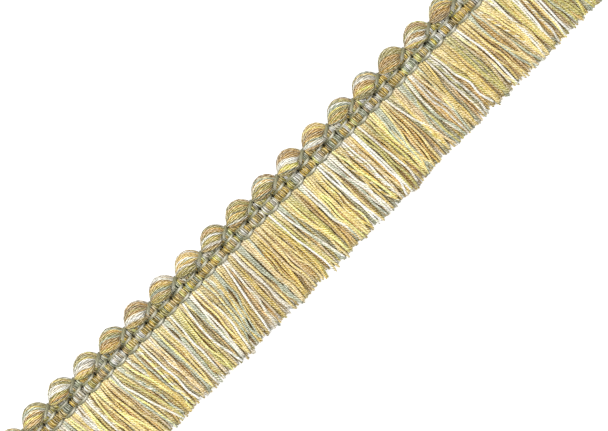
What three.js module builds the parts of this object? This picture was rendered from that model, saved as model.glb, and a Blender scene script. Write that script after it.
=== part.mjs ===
// A cut length of fringe trim, lying on its back: a row of wound-yarn loops along the top edge,
// a knitted heading of two rows of knots, and a cut brush skirt of loose yarn in two layers.
// Millimetres. +X runs along the trim, +Y towards the loops, +Z up off the surface it lies on.
// The origin is on the heading's flat back, at mid length, under the middle stitch line.
import * as THREE from "three";

// Driving dimensions
const LOOPS = 22;
const PITCH = 10.85; // one loop and its two knots
const COURSE = PITCH / 2; // one bundle of yarn across the heading
const LENGTH = LOOPS * PITCH;
const COURSES = 2 * LOOPS;
const CLEARANCE = 0.4; // kept between one piece and the next

const LOWER_LINE = -3.05; // the stitch lines lie here, at 0 and at UPPER_LINE
const UPPER_LINE = 3.3;
const HEADING_EDGE = -3.45;
const KNOT_SHOULDER = 0.24; // share of a course from a pinch to the knot's full height

const SKIRT_STRIP = { top: -3.8, bottom: -4.6 };
const SKIRT_TIP = -28.4;
const LOCKS_PER_COURSE = 3; // in each layer of the skirt
const LOCK_STEPS = 3;
const LOCK_ROOT_WIDTH = 1.35;
const LOCK_TIP_WIDTH = 0.95;
const LOCK_TIP_GAP = 0.16; // least space between two neighbours' tips
const TIP_RAGGEDNESS = 0.9;

// Rows across the heading, with the height of a knot and of the pinch between two knots
const HEADING_ROWS = [
  { across: HEADING_EDGE, knot: 1.0, pinch: 0.8 },
  { across: LOWER_LINE, knot: 1.5, pinch: 1.0 },
  { across: -2.55, knot: 2.45, pinch: 1.3 },
  { across: -1.5, knot: 2.85, pinch: 1.5 },
  { across: -0.5, knot: 2.45, pinch: 1.3 },
  { across: 0, knot: 1.6, pinch: 0.9 },
  { across: 0.55, knot: 2.4, pinch: 1.2 },
  { across: 1.7, knot: 2.85, pinch: 1.4 },
  { across: 2.8, knot: 2.35, pinch: 1.1 },
  { across: UPPER_LINE, knot: 1.4, pinch: 0.8 },
];

// Sections of one loop, from its left pole over the crest to its neck, measured from the loop's middle
const LOOP_SECTIONS = [
  { along: -5.25, across: 3.25, halfWidth: 0.4, height: 1.7, halfThickness: 0.5 },
  { along: -4.4, across: 3.25, halfWidth: 1.15, height: 2.1, halfThickness: 1.25 },
  { along: -3.1, across: 3.5, halfWidth: 2.2, height: 2.4, halfThickness: 1.95 },
  { along: -1.4, across: 4.05, halfWidth: 3.05, height: 2.5, halfThickness: 2.35 },
  { along: 0.5, across: 4.45, halfWidth: 3.2, height: 2.5, halfThickness: 2.35 },
  { along: 2.3, across: 4.6, halfWidth: 2.55, height: 2.45, halfThickness: 2.0 },
  { along: 3.7, across: 4.35, halfWidth: 1.5, height: 2.3, halfThickness: 1.35 },
  { along: 4.75, across: 3.75, halfWidth: 0.5, height: 2.1, halfThickness: 0.55 },
];
const LOOP_SIDES = 14; // every second one stands proud, as a ridge of yarn
const RIDGE_DEPTH = 0.17; // share of the loop's radius
const LOOP_TWIST = THREE.MathUtils.degToRad(38); // turn of the ridges from pole to neck
const LOOP_TILT = THREE.MathUtils.degToRad(-14); // the side over the heading is lifted
const LOOP_SIZE_CHANGE = 0.07; // share by which one loop differs from another

// How far the skirt's tips lean along the trim, by their place on it
const LEANS = [
  { along: -119, lean: 0.8 },
  { along: -96, lean: 2.0 },
  { along: -87, lean: 1.4 },
  { along: -77, lean: 4.6 },
  { along: -68, lean: 0.8 },
  { along: -52, lean: -1.4 },
  { along: -42, lean: -1.0 },
  { along: -32, lean: -3.8 },
  { along: -25, lean: 1.0 },
  { along: -13, lean: 1.2 },
  { along: -3, lean: 2.4 },
  { along: 7, lean: 0.1 },
  { along: 15, lean: 1.8 },
  { along: 28, lean: 2.6 },
  { along: 37, lean: -2.2 },
  { along: 43, lean: 1.6 },
  { along: 55, lean: -2.0 },
  { along: 61, lean: 2.8 },
  { along: 69, lean: 0.5 },
  { along: 79, lean: 4.4 },
  { along: 88, lean: -1.2 },
  { along: 104, lean: 1.4 },
  { along: 119, lean: 0.4 },
];

// Layers of the skirt: the foot and the top of a lock at its root and at its tip
const LAYERS = {
  fringe_back: { footRoot: 0, footTip: 0, topRoot: 1.05, topTip: 0.8, shift: 0 },
  fringe_face: { footRoot: 1.4, footTip: 1.15, topRoot: 2.4, topTip: 2.0, shift: 0.5 },
};

const HIDDEN_LEAST = 0.45; // thickness of the heading where a loop lies over it

const YARN = {
  loop: { color: 0xc4a866, roughness: 0.62 },
  heading: { color: 0xa89f78, roughness: 0.7 },
  fringe_face: { color: 0xd9c795, roughness: 0.66 },
  fringe_back: { color: 0xb9a873, roughness: 0.7 },
};

const { lerp, clamp } = THREE.MathUtils;

// A repeatable number from -0.5 to 0.5 for item i, and a different one for each use
function uneven(i, use) {
  const wave = Math.sin(i * 12.9898 + use * 78.233) * 43758.5453;
  return wave - Math.floor(wave) - 0.5;
}

// Reads a column of a table at a place along it, in straight steps between rows
function tableAt(table, along, column) {
  const last = table.length - 1;
  const at = clamp(along, table[0].along, table[last].along);
  const i = Math.min(Math.max(table.findIndex((row) => row.along >= at), 1), last);
  const a = table[i - 1];
  const b = table[i];
  return lerp(a[column], b[column], (at - a.along) / (b.along - a.along));
}

// A closed body through rings with the same number of points, its two ends closed by fans
function loft(rings) {
  const sides = rings[0].length;
  const points = rings.flat();
  const faces = [];
  for (let r = 0; r + 1 < rings.length; r++) {
    for (let k = 0; k < sides; k++) {
      const next = (k + 1) % sides;
      const [a, b] = [r * sides + k, r * sides + next];
      const [c, d] = [a + sides, b + sides];
      faces.push(a, b, c, b, d, c);
    }
  }
  for (let k = 1; k + 1 < sides; k++) {
    const end = (rings.length - 1) * sides;
    faces.push(0, k + 1, k);
    faces.push(end, end + k, end + k + 1);
  }
  return new THREE.BufferGeometry().setFromPoints(points).setIndex(faces);
}

function piece(name, geometry, finish) {
  const material = new THREE.MeshStandardMaterial({ ...finish, metalness: 0 });
  const mesh = new THREE.Mesh(geometry, material);
  mesh.name = name;
  return mesh;
}

const loopMiddle = (n) => -LENGTH / 2 + PITCH * (n + 0.5);

// One wound loop about its own middle: ridges of yarn that twist a little from pole to neck
function loopGeometry(n) {
  const size = 1 + LOOP_SIZE_CHANGE * uneven(n, 1);
  const rings = LOOP_SECTIONS.map((section, i) => {
    const turn = (LOOP_TWIST * i) / (LOOP_SECTIONS.length - 1);
    return Array.from({ length: LOOP_SIDES }, (_, k) => {
      const angle = (2 * Math.PI * k) / LOOP_SIDES + turn;
      const ridge = k % 2 ? 1 - RIDGE_DEPTH : 1;
      const p = section.halfWidth * size * ridge * Math.cos(angle);
      const q = section.halfThickness * ridge * Math.sin(angle);
      const across = section.across + p * Math.cos(LOOP_TILT) - q * Math.sin(LOOP_TILT);
      const height = section.height + p * Math.sin(LOOP_TILT) + q * Math.cos(LOOP_TILT);
      return new THREE.Vector3(section.along, across, height);
    });
  });
  return loft(rings);
}

// Height of a loop's underside over a point of the heading, or Infinity beside the loop
function loopUnderside(along, across) {
  const ends = [LOOP_SECTIONS[0].along, LOOP_SECTIONS.at(-1).along];
  if (along < ends[0] || along > ends[1]) return Infinity;
  const read = (column) => tableAt(LOOP_SECTIONS, along, column);
  const a = read("halfWidth") * (1 + LOOP_SIZE_CHANGE) + CLEARANCE;
  const b = read("halfThickness") + CLEARANCE;
  const u = across - read("across");
  const [c, s] = [Math.cos(LOOP_TILT), Math.sin(LOOP_TILT)];
  const A = (s / a) ** 2 + (c / b) ** 2;
  const B = 2 * u * s * c * (1 / a ** 2 - 1 / b ** 2);
  const C = u * u * ((c / a) ** 2 + (s / b) ** 2) - 1;
  const root = B * B - 4 * A * C;
  return root < 0 ? Infinity : read("height") + (-B - Math.sqrt(root)) / (2 * A);
}

// The heading: a band whose upper face rises in two rows of knots and dips under each loop
function headingGeometry() {
  const columns = [];
  for (let c = 0; c < COURSES; c++) {
    columns.push({ share: c, pinched: true });
    columns.push({ share: c + KNOT_SHOULDER, pinched: false });
    columns.push({ share: c + 1 - KNOT_SHOULDER, pinched: false });
  }
  columns.push({ share: COURSES, pinched: true });
  const rings = columns.map(({ share, pinched }) => {
    const along = -LENGTH / 2 + share * COURSE;
    const loop = clamp(Math.floor(share / 2), 0, LOOPS - 1);
    const swell = 1 + 0.08 * uneven(Math.floor(share), 2);
    const top = HEADING_ROWS.map((row) => {
      const free = pinched ? row.pinch : row.knot * swell;
      const under = loopUnderside(along - loopMiddle(loop), row.across);
      const height = Math.max(Math.min(free, under), HIDDEN_LEAST);
      return new THREE.Vector3(along, row.across, height);
    });
    const foot = [UPPER_LINE, HEADING_EDGE].map((y) => new THREE.Vector3(along, y, 0));
    return [...top, ...foot].reverse();
  });
  return loft(rings);
}

// Where the locks of one layer end: each leans with its neighbours and stays clear of them
function tipPlaces(roots) {
  const least = LOCK_TIP_WIDTH + LOCK_TIP_GAP;
  const tips = roots.map((x) => x + tableAt(LEANS, x, "lean"));
  const half = LENGTH / 2;
  for (let pass = 0; pass < 60; pass++) {
    for (let i = 1; i < tips.length; i++) {
      const short = least - (tips[i] - tips[i - 1]);
      if (short <= 0) continue;
      tips[i - 1] -= short / 2;
      tips[i] += short / 2;
    }
  }
  return tips.map((x) => clamp(x, -half, half));
}

// Sections of one lock: a three-sided strand, flat underneath, that leans and sways to its cut tip
function lockRings(rootAlong, tipAlong, layer, n) {
  const tipAcross = SKIRT_TIP + TIP_RAGGEDNESS * uneven(n, 3 + layer.shift);
  return Array.from({ length: LOCK_STEPS + 1 }, (_, step) => {
    const t = step / LOCK_STEPS;
    const ease = t * t * (3 - 2 * t);
    const along = lerp(rootAlong, tipAlong, lerp(t, ease, 0.6));
    const across = lerp(SKIRT_STRIP.bottom, tipAcross, t);
    const half = lerp(LOCK_ROOT_WIDTH, LOCK_TIP_WIDTH, t) / 2;
    const foot = lerp(layer.footRoot, layer.footTip, t);
    const top = lerp(layer.topRoot, layer.topTip, t);
    return {
      right: new THREE.Vector3(along + half, across, foot),
      ridge: new THREE.Vector3(along, across, top),
      left: new THREE.Vector3(along - half, across, foot),
    };
  });
}

// One layer of the skirt as one closed body: the locks grow out of the front of the strip that holds them
function skirtGeometry(layer) {
  const points = [];
  const faces = [];
  const add = (point) => points.push(point) - 1;
  const at = (along, across, height) => add(new THREE.Vector3(along, across, height));
  const quad = (a, b, c, d) => faces.push(a, b, c, a, c, d);

  // A rib is the strip's section at one lock, or at one end of the strip
  const rib = (along, right, ridge, left) => ({
    right,
    ridge,
    left,
    backTop: at(along, SKIRT_STRIP.top, layer.topRoot),
    backFoot: at(along, SKIRT_STRIP.top, layer.footRoot),
  });
  const endRib = (along) => {
    const foot = at(along, SKIRT_STRIP.bottom, layer.footRoot);
    return rib(along, foot, at(along, SKIRT_STRIP.bottom, layer.topRoot), foot);
  };

  const count = COURSES * LOCKS_PER_COURSE - (layer.shift ? 1 : 0);
  const step = COURSE / LOCKS_PER_COURSE;
  const first = -LENGTH / 2 + step * (0.5 + layer.shift);
  const roots = Array.from({ length: count }, (_, n) => first + step * n);
  const tips = tipPlaces(roots);

  const ribs = [endRib(-LENGTH / 2)];
  roots.forEach((x, n) => {
    const rings = lockRings(x, tips[n], layer, n).map((ring) => ({
      right: add(ring.right),
      ridge: add(ring.ridge),
      left: add(ring.left),
    }));
    rings.slice(1).forEach((next, i) => {
      const ring = rings[i];
      quad(ring.right, ring.ridge, next.ridge, next.right);
      quad(ring.ridge, ring.left, next.left, next.ridge);
      quad(ring.left, ring.right, next.right, next.left);
    });
    const { right, ridge, left } = rings.at(-1);
    faces.push(right, ridge, left);
    const made = rib(x, rings[0].right, rings[0].ridge, rings[0].left);
    faces.push(made.backFoot, made.right, made.left);
    ribs.push(made);
  });
  ribs.push(endRib(LENGTH / 2));

  ribs.slice(1).forEach((next, i) => {
    const here = ribs[i];
    quad(here.ridge, next.ridge, next.backTop, here.backTop);
    quad(here.backTop, next.backTop, next.backFoot, here.backFoot);
    quad(here.backFoot, next.backFoot, next.left, here.right);
    quad(here.ridge, here.right, next.left, next.ridge);
  });
  const start = ribs[0];
  const end = ribs.at(-1);
  quad(start.right, start.ridge, start.backTop, start.backFoot);
  quad(end.right, end.backFoot, end.backTop, end.ridge);
  return new THREE.BufferGeometry().setFromPoints(points).setIndex(faces);
}

const trim = new THREE.Group();
for (let n = 0; n < LOOPS; n++) {
  const name = "loop_" + String(n + 1).padStart(2, "0");
  const loop = piece(name, loopGeometry(n), YARN.loop);
  loop.position.x = loopMiddle(n);
  trim.add(loop);
}
trim.add(piece("heading", headingGeometry(), YARN.heading));
for (const [name, layer] of Object.entries(LAYERS)) {
  trim.add(piece(name, skirtGeometry(layer), YARN[name]));
}

export default trim;
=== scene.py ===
"""Covers a packed fringe trim with its yarn.

It makes the wound loops, the knotted heading, the binding thread and a cut skirt of three layers.
"""

import math

import bpy
import numpy as np
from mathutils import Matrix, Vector


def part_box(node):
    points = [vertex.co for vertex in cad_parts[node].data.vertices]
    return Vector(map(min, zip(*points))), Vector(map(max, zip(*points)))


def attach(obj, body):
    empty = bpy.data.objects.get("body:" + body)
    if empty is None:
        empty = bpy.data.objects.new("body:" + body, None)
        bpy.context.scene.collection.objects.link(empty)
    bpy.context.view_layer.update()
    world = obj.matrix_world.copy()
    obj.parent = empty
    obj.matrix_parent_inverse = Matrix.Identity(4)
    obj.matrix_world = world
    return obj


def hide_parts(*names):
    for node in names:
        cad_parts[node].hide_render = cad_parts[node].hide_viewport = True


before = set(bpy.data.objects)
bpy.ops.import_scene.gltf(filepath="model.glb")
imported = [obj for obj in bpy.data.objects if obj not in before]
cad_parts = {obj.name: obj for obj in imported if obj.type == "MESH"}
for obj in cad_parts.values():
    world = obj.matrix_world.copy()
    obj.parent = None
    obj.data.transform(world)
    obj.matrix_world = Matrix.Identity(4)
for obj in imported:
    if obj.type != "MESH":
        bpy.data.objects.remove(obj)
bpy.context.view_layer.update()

bl_info = {
    "name": "Fringe Trim Dresser",
    "version": (1, 0, 0),
    "blender": (4, 5, 0),
    "location": "3D View > Sidebar > Fringe Trim",
    "description": "Covers a packed fringe trim with loops, knots, thread and a cut skirt",
    "category": "Object",
}

# Places and sizes below are in millimetres: x along the trim, y across it to the loops, z up
MM = 0.001
BODY = "root"
SEED = 11

LOOP_NODES = sorted(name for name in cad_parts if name.startswith("loop_"))
HEADING_LOW, HEADING_HIGH = (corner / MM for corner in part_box("heading"))
TRIM_LENGTH = HEADING_HIGH.x - HEADING_LOW.x
PITCH = TRIM_LENGTH / len(LOOP_NODES)
COURSE = PITCH / 2  # each loop has two courses of the heading, with a knot in each row
COURSES = 2 * len(LOOP_NODES)
SKIRT_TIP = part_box("fringe_face")[0].y / MM

# Where the heading's stitch lines run, across the trim
LOWER_LINE = -2.95
MIDDLE_LINE = 0.25
UPPER_LINE = 2.5

# The middle line of a loop's bundle, from its left pole over the crest and down to its neck, with
# the bundle's half width and half thickness there. Along is measured from the loop's middle.
LOOP_SPINE = [
    {"along": -5.3, "across": 3.2, "height": 1.6, "half_width": 0.4, "half_thickness": 0.5},
    {"along": -4.5, "across": 3.2, "height": 2.1, "half_width": 1.15, "half_thickness": 1.25},
    {"along": -3.5, "across": 3.4, "height": 2.4, "half_width": 1.9, "half_thickness": 1.85},
    {"along": -2.3, "across": 3.75, "height": 2.5, "half_width": 2.55, "half_thickness": 2.25},
    {"along": -0.8, "across": 4.2, "height": 2.5, "half_width": 3.05, "half_thickness": 2.35},
    {"along": 0.7, "across": 4.5, "height": 2.5, "half_width": 3.05, "half_thickness": 2.35},
    {"along": 2.1, "across": 4.45, "height": 2.45, "half_width": 2.45, "half_thickness": 2.1},
    {"along": 3.2, "across": 4.0, "height": 2.35, "half_width": 1.7, "half_thickness": 1.6},
    {"along": 4.0, "across": 3.35, "height": 2.1, "half_width": 1.1, "half_thickness": 1.1},
    {"along": 4.4, "across": 2.8, "height": 1.8, "half_width": 0.85, "half_thickness": 0.8},
]
LOOP_NECK = {"along": 4.5, "across": 2.1, "height": 1.2, "half_width": 0.9, "half_thickness": 0.6}
LOOP_POLE = {"along": -5.35, "across": 2.6, "height": 0.9, "half_width": 0.4, "half_thickness": 0.4}
LOOP_YARNS = 28
LOOP_STATIONS = 25
LOOP_TWIST = math.radians(160)  # turn of the yarns about the bundle from pole to neck
LOOP_SLOPE = -0.22  # the side over the heading is lifted
LOOP_SIZE = 1.03
LOOP_SIZE_CHANGE = 0.12
LOOP_FOOT = 3.1  # a loop of another size grows from here
LEAST_BUNDLE = 0.1  # half width and half thickness that a bundle keeps
BELLY = 1.2  # how much fuller a loop's lower side is
BELLY_CHANGE = 0.35  # how much the loops' lower sides differ
SIZE_USE = 1  # these two keep a loop's size and its belly from changing together
BELLY_USE = 2
WOUND_YARN = 0.7  # half width of a wound yarn, as a share of its room round the bundle
LEAST_WOUND_YARN = 0.2
WOUND_GAP_CHANGE = 0.16  # how unevenly the yarns start round the bundle, as a share of their gap
WOUND_SWAY = 0.06  # how far a yarn strays round the bundle, in radians
WOUND_SINK = 0.07  # how far a yarn sinks into the bundle
LOOP_LAY = 2.4  # the pulled yarn of a loop has a longer twist by this factor
EDGE_PAINTED_SHADE = 0.54  # how much darker the yarn is at a loop's two sides than on its top, as painted shade
# the power below sets how closely that painted shade keeps to the sides
EDGE_PAINTED_SHADE_POWER = 1.2
POLE_SHADE = 0.4  # painted shade: lightness of the yarn where a loop dives into the heading
POLE_SHADE_REACH = 0.14  # share of a yarn's length that this painted shade reaches from its pole
NECK_SHADE_REACH = 0.1  # and from its neck
LOOP_CORE = {"stations": 14, "sides": 12, "inset": 0.1, "share": 0.84}
# How the loops' underside is looked for: the steps along a loop, how far each step counts along it,
# a little room at the loop's sides, and the height to give where no loop is above
UNDERSIDE = {"stations": 60, "reach": 0.2, "room": 0.1, "open": 9.0}

# The heading's two rows of knots: where the yarns of a row dive under the stitch lines, the painted
# light on the row, and the painted shade of its yarns where they come out from under what is above
# them
KNOT_ROWS = {
    "upper": {"top": 3.5, "bottom": 0.35, "shade": (1.14, 1.1, 1.02), "top_shade": 0.08},
    "lower": {"top": -0.1, "bottom": -2.9, "shade": (1.04, 1.02, 0.98), "top_shade": 0.9},
}
KNOT_STATIONS = 14
KNOT_SHADE_REACH = 0.55  # share of a knot's length that lies in the painted shade of what is above it
YARNS_IN_KNOT = 6
KNOT_GAP_CHANGE = 0.12  # how unevenly its yarns lie, as a share of their gap
KNOT_WIDTH = 1.03  # share of the course that a knot fills
KNOT_PINCH = 0.84  # share of its width that a knot keeps at its ends
KNOT_FOOT = 0.7
KNOT_CREST = 2.65
KNOT_ARCH_POWER = 0.75  # below 1, a knot rises steeply and is flat on top
KNOT_FALL = 0.4  # how much lower a knot is at its two sides, as a share
KNOT_SIDE_POWER = 3  # how near its sides a knot starts to fall
KNOT_TOP_ROUNDING = 0.45  # how much shorter its outer yarns are at its top
KNOT_BOTTOM_ROUNDING = 0.2  # and at its bottom
KNOT_WAVER = 0.06  # how far a yarn rises and falls on its way
UNDER_LOOP_GAP = 0.45  # from the middle of a knotted yarn to the loop over it
LEAST_HEIGHT = 0.53  # keeps the lowest yarns above the table
KNOT_YARN = 1.3  # a knotted yarn is pressed wider by this factor
KNOT_LAY = 4.0  # and has a longer twist by this one
# The flat yarns on the heading's back: they rise and fall by the wave, twice on their way across
BACK_YARNS = {
    "per_course": 6,
    "stations": 8,
    "half_width": 0.34,
    "height": 0.42,
    "wave": 0.06,
    "margin": 0.1,
    "lay": 3.0,
}
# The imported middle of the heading: set in from its sides, with a ripple for each course
HEADING_CORE = {
    "steps_in_course": 4,
    "inset": 0.3,
    "underside": 0.3,
    "crest": 0.75,
    "ripple": 0.15,
    "edge_drop": 0.2,
}

# A link of the binding thread, measured from the middle of a knot on its stitch line
THREAD_LINK = [
    {"along": -2.6, "across": 0.35, "height": 0.6},
    {"along": -2.2, "across": 0.0, "height": 1.4},
    {"along": -1.3, "across": -0.2, "height": 2.0},
    {"along": 0.0, "across": -0.28, "height": 2.2},
    {"along": 1.3, "across": -0.12, "height": 2.2},
    {"along": 2.15, "across": 0.25, "height": 1.9},
    {"along": 2.55, "across": 0.8, "height": 1.3},
    {"along": 2.65, "across": 1.2, "height": 0.6},
]
# The thread that holds a loop's neck, with its places along measured from the loop's middle
NECK_LINK = [
    {"along": 1.2, "across": 0.9, "height": 1.0},
    {"along": 1.7, "across": 1.2, "height": 2.3},
    {"along": 2.6, "across": 1.75, "height": 3.0},
    {"along": 3.6, "across": 2.4, "height": 3.15},
    {"along": 4.5, "across": 2.95, "height": 2.9},
    {"along": 5.15, "across": 3.35, "height": 2.3},
    {"along": 5.45, "across": 3.5, "height": 1.1},
]
# The stitch lines: the link that each repeats, where the line runs, how much thicker and further
# apart its threads are, their lightness, partly painted shade and light, and the power that moves
# the painted highlight along a link
STITCH_LINES = {
    "thread_lower_line": {
        "link": THREAD_LINK,
        "across": LOWER_LINE,
        "spread": 1.0,
        "paleness": 1.0,
        "skew": 1.3,
    },
    "thread_middle_line": {
        "link": THREAD_LINK,
        "across": MIDDLE_LINE,
        "spread": 1.0,
        "paleness": 1.15,
        "skew": 1.3,
    },
    "thread_upper_line": {
        "link": THREAD_LINK,
        "across": UPPER_LINE,
        "spread": 1.0,
        "paleness": 0.5,
        "skew": 1.3,
    },
    "thread_over_necks": {
        "link": NECK_LINK,
        "across": 0.0,
        "spread": 1.3,
        "paleness": 1.05,
        "skew": 0.5,
    },
}
STITCH_CHANGE = (0.07, 0.05, 0.03)  # how far a stitch is out of place along, across and upwards
THREAD_STATIONS = 14
THREAD_LAY = 2.0
LEAST_THREAD_HEIGHT = 0.3
THREAD_DEPTH = 0.72  # lightness of the thread's dye away from its painted highlight
THREAD_PAINTED_HIGHLIGHT = 0.8  # how far the crest of a link turns to the painted highlight
THREAD_CREST_POWER = 9  # how closely the painted highlight keeps to the crest
# colour of the painted highlight on the threads
THREAD_HIGHLIGHT = (1.0, 0.97, 0.86)
THREAD_SHADES = (0.85, 1.1)  # least and greatest lightness of one link
THREAD_HIGHLIGHT_SHARES = (0.5, 1.2)  # least and greatest share of the painted highlight on one link
# Threads that lie side by side in a link, with their places in it, their lightness and the strength
# of their painted highlight
THREADS = [
    {"aside": -0.29, "drop": 0.15, "shade": 0.7, "painted_highlight": 0.45},
    {"aside": 0.0, "drop": 0.0, "shade": 1.0, "painted_highlight": 0.8},
    {"aside": 0.28, "drop": 0.12, "shade": 0.85, "painted_highlight": 0.35},
]

# How far the skirt's tips lean along the trim, by the place of their roots
LEANS = [
    {"along": -120.0, "lean": 1.0},
    {"along": -96.0, "lean": 2.0},
    {"along": -86.5, "lean": 1.2},
    {"along": -82.0, "lean": 2.5},
    {"along": -77.5, "lean": 4.6},
    {"along": -73.5, "lean": 4.3},
    {"along": -68.5, "lean": 0.6},
    {"along": -64.0, "lean": 1.2},
    {"along": -52.5, "lean": -1.5},
    {"along": -48.0, "lean": 0.0},
    {"along": -41.5, "lean": -1.2},
    {"along": -35.0, "lean": -3.3},
    {"along": -31.0, "lean": -4.0},
    {"along": -27.0, "lean": 0.6},
    {"along": -22.5, "lean": 1.2},
    {"along": -19.5, "lean": -0.8},
    {"along": -12.5, "lean": 1.4},
    {"along": -6.0, "lean": 2.3},
    {"along": -1.0, "lean": 1.2},
    {"along": 1.5, "lean": 2.5},
    {"along": 7.5, "lean": 0.0},
    {"along": 14.0, "lean": 1.8},
    {"along": 25.5, "lean": 0.6},
    {"along": 28.0, "lean": 2.9},
    {"along": 33.0, "lean": 1.0},
    {"along": 37.0, "lean": -2.3},
    {"along": 40.5, "lean": 2.3},
    {"along": 46.0, "lean": 0.1},
    {"along": 51.0, "lean": 1.4},
    {"along": 56.0, "lean": -2.2},
    {"along": 59.0, "lean": 3.3},
    {"along": 64.5, "lean": 1.5},
    {"along": 68.0, "lean": 0.3},
    {"along": 74.0, "lean": 3.6},
    {"along": 79.5, "lean": 4.4},
    {"along": 84.0, "lean": 2.5},
    {"along": 88.0, "lean": -1.5},
    {"along": 94.5, "lean": 2.0},
    {"along": 104.0, "lean": 1.0},
    {"along": 120.0, "lean": 0.5},
]

# Corners of a yarn's section, as an angle and a share of its half width: a round back for each
# ply with a waist between it and the next
PLIES = 4
WAIST = 0.88
PLY_CORNERS = [(180 * k / PLIES, WAIST if k % 2 else 1.0) for k in range(2 * PLIES)]
ROUND_CORNERS = [(60 * k, 1.0) for k in range(6)]

# Layers of the skirt. A row gives the number of pieces that its layer is made in along the trim,
# the nodes that they stand for, the height of a yarn's middle at its root, where it lies and at its
# tip, how much higher a yarn may lie, its share of the lean above, how much it goes its own way,
# the share of a course that its roots fill and how many yarns they are moved along, its thickness
# against the other yarns, its section, its stations and the painted shade of the layer
SKIRT_LAYERS = {
    "face": {
        "parts": 3,
        "replaces": ("fringe_face",),
        "heights": (1.45, 1.9, 1.6),
        "lift": 0.6,
        "lean_share": 1.0,
        "disorder": 1.0,
        "root_span": 0.94,
        "root_shift": 0.0,
        "width": 1.0,
        "corners": PLY_CORNERS,
        "stations": 62,
        "shade": (1.0, 1.0, 1.0),
    },
    "middle": {
        "parts": 1,
        "replaces": (),
        "heights": (1.0, 1.3, 1.05),
        "lift": 0.3,
        "lean_share": 0.75,
        "disorder": 0.7,
        "root_span": 1.0,
        "root_shift": 0.5,
        "width": 1.0,
        "corners": ROUND_CORNERS,
        "stations": 20,
        "shade": (0.8, 0.67, 0.44),
    },
    "back": {
        "parts": 1,
        "replaces": ("fringe_back",),
        "heights": (0.6, 0.55, 0.5),
        "lift": 0.1,
        "lean_share": 0.05,
        "disorder": 0.05,
        "root_span": 1.0,
        "root_shift": 0.0,
        "width": 1.2,
        "corners": ROUND_CORNERS,
        "stations": 12,
        "shade": (0.76, 0.63, 0.4),
    },
}
SKIRT_YARNS = 7  # in each course of each layer
SKIRT_ROOT = -3.35
ROOT_MARGIN = 0.3  # no yarn starts nearer to the trim's cut end
STRAY_CHANCE = 0.25  # that a yarn of the skirt lies across its neighbours
STRAY_LEAN = 2.3  # how far such a yarn leans
PLAIN_LEAN = 0.5  # and one that doesn't
EVEN_LEAN = 0.4  # share of a yarn's lean that is the same all the way down
TUFT_WIDTHS = (2.2, 5.0)  # the tips of the yarns draw together into tufts
TUFT_PULL = 0.32  # share of its way to the middle of its tuft that a tip is drawn
TUFT_POINT = 0.3  # a yarn at a tuft's edge ends this much higher for each millimetre
TIP_WAVE = 0.5  # how far the cut wanders from course to course, as a share of the raggedness
TIP_CHANGE = 0.3  # and from yarn to yarn
NOTCH_CHANCE = 0.1  # that a yarn is cut shorter than the rest
NOTCH_DEPTHS = (0.4, 1.6)
CUT_INSET = 0.2  # an even cut would lie this far inside the solid's tips
LONGEST_TIP = 0.9  # no yarn reaches further past them
BOW_MARKS = 61  # places along the trim between which neighbours bow alike
SHARED_BOW = 0.5  # how far they do
OWN_BOW = 0.36  # and how far each yarn bows by itself
SKIRT_SWAY = 0.34  # how far a yarn sways on its way
SKIRT_WAVER = 0.13  # how far a yarn rises and falls on its way
ROOT_SWELL = 0.14  # share of its length in which a yarn rises from the heading's foot
TIP_SHADE = 0.82  # painted lightness of every layer at its tips, which lie open to the light
TIP_REACH = 0.12
ROOT_PAINTED_LIGHT = 0.28  # painted light: the yarns are paler where they leave the heading
ROOT_LIGHT_TINT = (0.86, 0.83, 0.72)
ROOT_REACH = 0.3
TIP_TAPER = 0.75  # share of its width that a yarn keeps at its cut tip

LAY_CHANGE = 0.15  # how much the twist of one yarn differs from another's
END_CROWN = 0.35  # how far a cut end bulges, as a share of the yarn's half width
START_UP = (0.0, 0.02, 1.0)  # upward, and never quite along a yarn
FINE_STEPS = 40  # for each row of a route while its length is measured
SCATTER = (12.9898, 78.233, 43758.5453)  # unlike numbers, to make the digits of a sine random

LAY_MAP = "lay"  # runs along and round each yarn
BAKE_MAP = "OFBake"  # gives each yarn a strip of its own
PLY_TINTS = ("ply_one", "ply_two")  # colour layers of a yarn's main plies and of its odd one
SPOOL_GAP = 40.0  # keeps the pattern of one yarn from matching its neighbour's
STRIP_SLENDERNESS = 8.0  # a strip of the bake map is this many times longer than wide
STRIP_EDGE = 0.04  # share of a strip that is left free on each side

PHOTO_WIDTH = 183.7  # how much of the scene the picture's long side takes in
LOOKED_AT = (-2.87, -10.88, 1.5)  # the place at the middle of the picture
ROLL = math.radians(-45.08)
LENS = 120.0
SENSOR = 36.0
# Broad square lamps, with their power in watts
LAMPS = [
    {"name": "key light", "place": (-260, 420, 620), "size": 420, "power": 6.3},
    {"name": "fill light", "place": (420, -260, 560), "size": 520, "power": 1.9},
]
ROOM_LIGHT = 0.54
TABLE_GLOW = 0.6
TABLE_REACH = 3.0  # metres from the middle of the table to each side


def linear(red, green, blue):
    """A screen colour, 0 to 255, as the linear colour that Blender works in."""
    shares = (value / 255 for value in (red, green, blue))
    return tuple(v / 12.92 if v <= 0.04045 else ((v + 0.055) / 1.055) ** 2.4 for v in shares)


def yarn_length(name, description, usual, least):
    """A length setting with its default and its least value in millimetres."""
    return bpy.props.FloatProperty(
        name=name,
        description=description,
        default=usual * MM,
        min=least * MM,
        subtype="DISTANCE",
        unit="LENGTH",
    )


class TrimSizes(bpy.types.PropertyGroup):
    """Sizes of the yarn and thread."""

    yarn_width: yarn_length("Yarn Width", "Width over the plies of the yarn", 0.77, 0.1)
    yarn_lay: yarn_length("Yarn Lay", "Length of one full twist of the plies", 3.6, 0.5)
    thread_width: yarn_length("Thread Width", "Thickness of the binding thread", 0.36, 0.05)
    tip_raggedness: yarn_length("Tip Raggedness", "How far the tips differ in length", 0.95, 0)


def yarn_colour(name, description, red, green, blue):
    """A colour setting with a screen colour as its default."""
    return bpy.props.FloatVectorProperty(
        name=name,
        description=description,
        default=linear(red, green, blue),
        min=0.0,
        max=1.0,
        subtype="COLOR",
        size=3,
    )


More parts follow.
